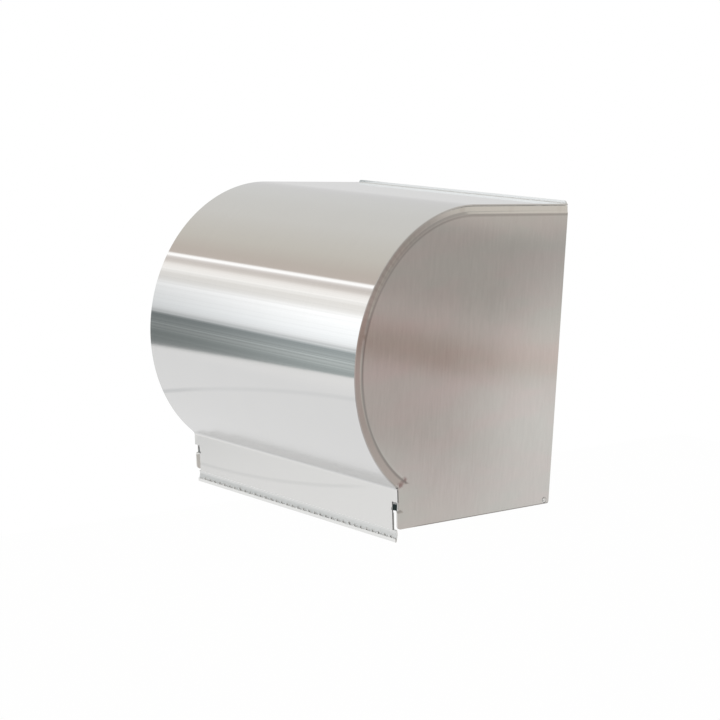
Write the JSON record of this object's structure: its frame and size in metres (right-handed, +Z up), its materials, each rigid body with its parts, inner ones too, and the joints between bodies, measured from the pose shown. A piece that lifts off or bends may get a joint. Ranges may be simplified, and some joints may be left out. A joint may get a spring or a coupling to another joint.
{
  "type": "roll towel dispenser",
  "caption": "Wall-mounted roll towel dispenser in brushed stainless sheet: round-fronted lift-up cover, telescopic roll spindle and a toothed tear lip.",
  "frame": {"origin": "on the wall plane, halfway along the roll and level with the roll's axis, at the centre of the four wall screw holes", "axes": "+X along the roll's axis to the right-hand side plate, +Y into the wall, +Z up; the round front faces -Y"},
  "size_m": [0.215, 0.1946, 0.2226],
  "materials": {
    "cover_steel": "brushed stainless sheet, fine grain running round the cover from top to apron",
    "side_steel": "brushed stainless sheet, fine upright grain",
    "blade_steel": "bright rolled stainless strip",
    "wall_plate_steel": "mill finish stainless sheet",
    "hinge_steel": "rolled stainless hinge strip",
    "arm_steel": "mill finish stainless sheet",
    "rivet_steel": "plain stainless rivets",
    "spring_steel": "bright spring steel",
    "button_steel": "turned and polished stainless",
    "sleeve_aluminium": "satin anodised tube",
    "spindle_plastic": "moulded light grey plastic",
    "nylon": "natural nylon"
  },
  "bodies": {
    "frame": {"back_plate": "wall_plate_steel", "hinge_leaf_back": "hinge_steel", "hinge_pin": "hinge_steel", "hinge_rivets": "rivet_steel", "left_arm": "arm_steel", "right_arm": "arm_steel", "arm_rivets": "rivet_steel", "left_bush": "nylon", "right_bush": "nylon", "catch_rivets": "rivet_steel"},
    "cover": {"cover_wrapper": "cover_steel", "left_side_plate": "side_steel", "right_side_plate": "side_steel", "tear_blade": "blade_steel", "hinge_leaf_cover": "hinge_steel"},
    "spindle": {"spindle_sleeve": "sleeve_aluminium", "spindle_end_cap": "spindle_plastic", "spindle_stop_ring": "nylon", "spindle_spring": "spring_steel"},
    "plunger": {"spindle_plunger": "spindle_plastic"},
    "left_catch": {"left_catch_leaf": "spring_steel", "left_catch_button": "button_steel"},
    "right_catch": {"right_catch_leaf": "spring_steel", "right_catch_button": "button_steel"}
  },
  "joints": [
    {"name": "cover_lift", "type": "hinge", "parent": "frame", "child": "cover", "pos_m": [0, -0.0033, 0.0994], "axis": [-1, 0, 0], "range_deg": [0, 90]},
    {"name": "spindle_spin", "type": "hinge", "parent": "frame", "child": "spindle", "pos_m": [0, -0.0934, 0], "axis": [1, 0, 0], "continuous": true},
    {"name": "plunger_push", "type": "slide", "parent": "spindle", "child": "plunger", "axis": [-1, 0, 0], "range_m": [0, 0.005], "stiffness_N_per_m": 250, "springref_m": -0.012, "deforming": ["spindle_spring"]},
    {"name": "left_catch_press", "type": "hinge", "parent": "frame", "child": "left_catch", "pos_m": [-0.1039, -0.0051, -0.046], "axis": [0, -1, 0], "range_deg": [0, 1.7], "stiffness_Nm_per_rad": 6, "deforming": ["left_catch_leaf"]},
    {"name": "right_catch_press", "type": "hinge", "parent": "frame", "child": "right_catch", "pos_m": [0.1039, -0.0051, -0.046], "axis": [0, 1, 0], "range_deg": [0, 1.7], "stiffness_Nm_per_rad": 6, "deforming": ["right_catch_leaf"]}
  ]
}
